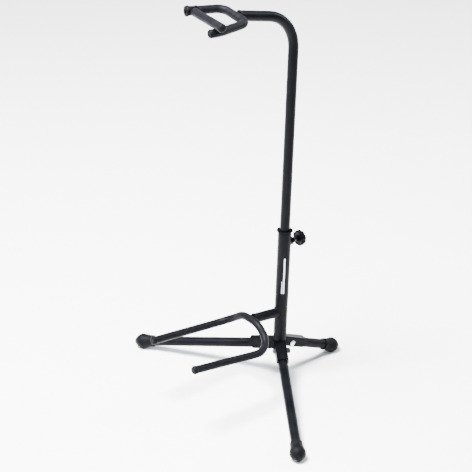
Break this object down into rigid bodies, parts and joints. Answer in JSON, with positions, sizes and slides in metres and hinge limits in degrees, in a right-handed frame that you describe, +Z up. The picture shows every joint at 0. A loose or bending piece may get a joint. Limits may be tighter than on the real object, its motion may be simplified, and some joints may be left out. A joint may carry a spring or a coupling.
{
  "type": "guitar stand",
  "caption": "Folding tripod guitar stand: leaning telescopic mast, gooseneck with padded neck yoke and swinging lock bar, padded body cradle and rubber-footed folding legs.",
  "frame": {"origin": "on the floor under the middle of the stand's box, between the cradle's tips in front and the rear foot", "axes": "+Z up, -Y to the front where the instrument hangs, +X to the stand's right-hand arms as seen in plan; the mast leans back by 2.6 degrees"},
  "size_m": [0.527, 0.4066, 0.7902],
  "materials": {
    "black_paint": "satin black powder coat on steel tube",
    "black_plastic": "moulded black plastic, fine grain",
    "black_rubber": "matt black moulded rubber",
    "black_foam": "black closed-cell foam rubber sleeve, finely pebbled",
    "zinc_steel": "bright zinc-plated steel",
    "white_nylon": "natural nylon"
  },
  "bodies": {
    "stand": {"mast_tube": "black_paint", "mast_collar": "black_plastic", "mast_cap": "black_plastic", "clamp_nut": "black_paint", "cradle_stub": "black_paint", "cradle_stem": "black_paint", "cradle_rod": "black_paint", "cradle_sleeve": "black_foam", "cradle_cap_right": "black_rubber", "cradle_cap_left": "black_rubber", "bracket_front_right": "black_paint", "bracket_front_left": "black_paint", "bracket_rear": "black_paint", "bolt_front_right": "zinc_steel", "bolt_front_left": "zinc_steel", "bolt_rear": "zinc_steel", "locknut_front_right": "zinc_steel", "locknut_front_left": "zinc_steel", "locknut_rear": "zinc_steel"},
    "right_leg": {"leg_front_right": "black_paint", "foot_front_right": "black_rubber"},
    "left_leg": {"leg_front_left": "black_paint", "foot_front_left": "black_rubber"},
    "rear_leg": {"leg_rear": "black_paint", "foot_rear": "black_rubber"},
    "neck_slider": {"guide_plug": "white_nylon"},
    "neck": {"neck_tube": "black_paint", "yoke_stem": "black_paint", "yoke_rod": "black_paint", "yoke_sleeve": "black_foam", "yoke_cap": "black_rubber", "pivot_collar": "black_paint", "pivot_cap": "black_plastic", "pivot_screw": "zinc_steel"},
    "locking_bar": {"bar_hub": "black_plastic", "bar_rod": "black_paint", "bar_sleeve": "black_foam", "bar_cap": "black_rubber"},
    "clamp_slider": {"clamp_shoe": "white_nylon"},
    "clamp_turner": {"clamp_screw": "zinc_steel", "clamp_knob": "black_plastic"}
  },
  "joints": [
    {"name": "right_leg_fold", "type": "hinge", "parent": "stand", "child": "right_leg", "pos_m": [0.01978, 0.03912, 0.065], "axis": [0.5344, 0.8453, 0], "range_deg": [0, 78]},
    {"name": "left_leg_fold", "type": "hinge", "parent": "stand", "child": "left_leg", "pos_m": [-0.01978, 0.03912, 0.065], "axis": [0.5344, -0.8453, 0], "range_deg": [0, 78]},
    {"name": "rear_leg_fold", "type": "hinge", "parent": "stand", "child": "rear_leg", "pos_m": [0, 0.07503, 0.065], "axis": [-1, 0, 0], "range_deg": [0, 64]},
    {"name": "neck_height", "type": "slide", "parent": "stand", "child": "neck_slider", "axis": [0, 0.0454, 0.999], "range_m": [-0.1, 0.04]},
    {"name": "neck_turn", "type": "hinge", "parent": "neck_slider", "child": "neck", "pos_m": [0, 0.05661, 0.17482], "axis": [0, 0.0454, 0.999], "range_deg": [-180, 180]},
    {"name": "bar_swing", "type": "hinge", "parent": "neck", "child": "locking_bar", "pos_m": [-0.04371, -0.10968, 0.77331], "axis": [-0.1894, -0.9777, 0.0904], "range_deg": [0, 150]},
    {"name": "clamp_travel", "type": "slide", "parent": "stand", "child": "clamp_slider", "axis": [0, 0.999, -0.0454], "range_m": [0, 0.0025]},
    {"name": "clamp_turn", "type": "hinge", "parent": "clamp_slider", "child": "clamp_turner", "pos_m": [0, 0.07438, 0.28613], "axis": [0, -0.999, 0.0454], "range_deg": [0, 720]}
  ],
  "couplings": [
    {"joint": "clamp_turn", "follows": "clamp_travel", "rad_per_m": 5026.5}
  ]
}
